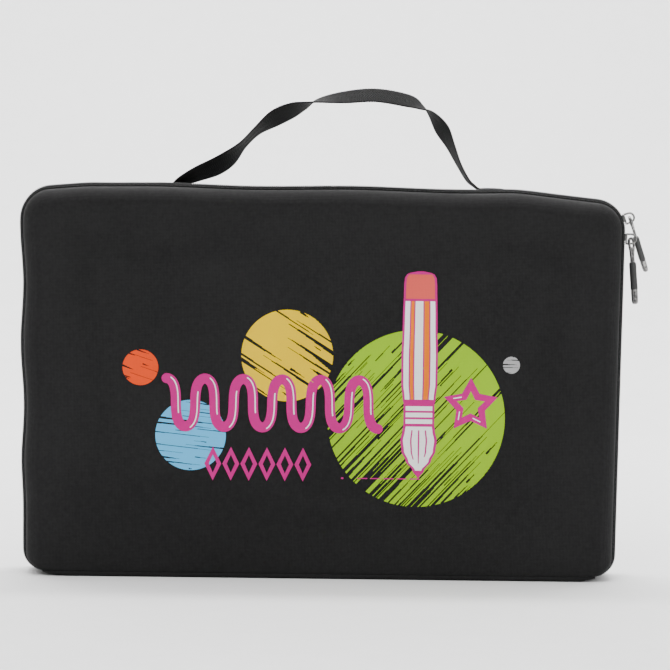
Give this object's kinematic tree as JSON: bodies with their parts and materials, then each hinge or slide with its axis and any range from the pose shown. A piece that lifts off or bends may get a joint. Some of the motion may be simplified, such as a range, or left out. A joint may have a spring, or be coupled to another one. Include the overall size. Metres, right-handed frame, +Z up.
{
  "type": "portfolio case",
  "caption": "Padded zip-round portfolio case with a webbing handle that stands on its bottom gusset and opens flat.",
  "frame": {"origin": "middle of the bottom gusset's flat underside, where the case stands", "axes": "+X to the right seen from the front, -Y out of the printed front panel, +Z up towards the handle"},
  "size_m": [0.4862, 0.051, 0.3737],
  "materials": {
    "shell_cloth": "matt woven polyester",
    "patch_cloth": "matt woven polyester",
    "lining": "plain woven lining",
    "foam": "closed cell foam",
    "board": "matt sheet",
    "zip_tape": "woven zip tape",
    "zip_coil": "nylon coil",
    "binding": "woven binding tape",
    "webbing": "woven webbing",
    "nickel": "satin nickel plate",
    "pull_rubber": "moulded rubber",
    "print_ink": "printed ink on cloth"
  },
  "bodies": {
    "spine": {"bottom_gusset": "shell_cloth", "spine_board": "board", "spine_lining": "lining"},
    "front_cover": {"front_panel": "shell_cloth", "front_foam_pad": "foam", "front_lining": "lining", "front_zip_tape": "zip_tape", "front_zip_coil": "zip_coil", "front_seam_binding": "binding"},
    "back_shell": {"back_panel": "shell_cloth", "back_foam_pad": "foam", "back_lining": "lining", "side_gusset": "shell_cloth", "back_zip_tape": "zip_tape", "back_zip_coil": "zip_coil", "back_seam_binding": "binding", "inner_pocket": "lining", "pocket_binding": "binding", "zip_end_tab_left": "shell_cloth", "zip_end_tab_right": "shell_cloth", "handle_end_left": "webbing", "handle_end_right": "webbing", "handle_patch_left": "patch_cloth", "handle_patch_right": "patch_cloth"},
    "handle": {"handle_strap": "webbing"},
    "upper_slider": {"upper_slider_body": "nickel", "upper_slider_crown": "nickel"},
    "upper_pull": {"upper_pull_eye": "nickel", "upper_pull_grip": "pull_rubber", "upper_pull_tip": "nickel"},
    "lower_slider": {"lower_slider_body": "nickel", "lower_slider_crown": "nickel"},
    "lower_pull": {"lower_pull_eye": "nickel", "lower_pull_grip": "pull_rubber", "lower_pull_tip": "nickel"}
  },
  "joints": [
    {"name": "front_cover_fold", "type": "hinge", "parent": "spine", "child": "front_cover", "pos_m": [0, -0.0235, 0.003], "axis": [1, 0, 0], "range_deg": [0, 90]},
    {"name": "back_shell_fold", "type": "hinge", "parent": "spine", "child": "back_shell", "pos_m": [0, 0.025, 0], "axis": [-1, 0, 0], "range_deg": [0, 90]},
    {"name": "handle_swing", "type": "hinge", "parent": "back_shell", "child": "handle", "pos_m": [0, 0.0135, 0.3116], "axis": [1, 0, 0], "range_deg": [-65, 65]},
    {"name": "upper_slider_travel", "type": "hinge", "parent": "back_shell", "child": "upper_slider", "pos_m": [0.20872, -0.006, 0.27038], "axis": [0, -1, 0], "range_deg": [0, 60]},
    {"name": "upper_pull_swing", "type": "hinge", "parent": "upper_slider", "child": "upper_pull", "pos_m": [0.23616, -0.006, 0.28037], "axis": [0, -1, 0], "range_deg": [0, 160]},
    {"name": "lower_slider_travel", "type": "slide", "parent": "back_shell", "child": "lower_slider", "axis": [-0.0127, 0, -0.9999], "range_m": [0, 0.225]},
    {"name": "lower_pull_swing", "type": "hinge", "parent": "lower_slider", "child": "lower_pull", "pos_m": [0.23785, -0.006, 0.26407], "axis": [0, -1, 0], "range_deg": [-2, 45]}
  ]
}
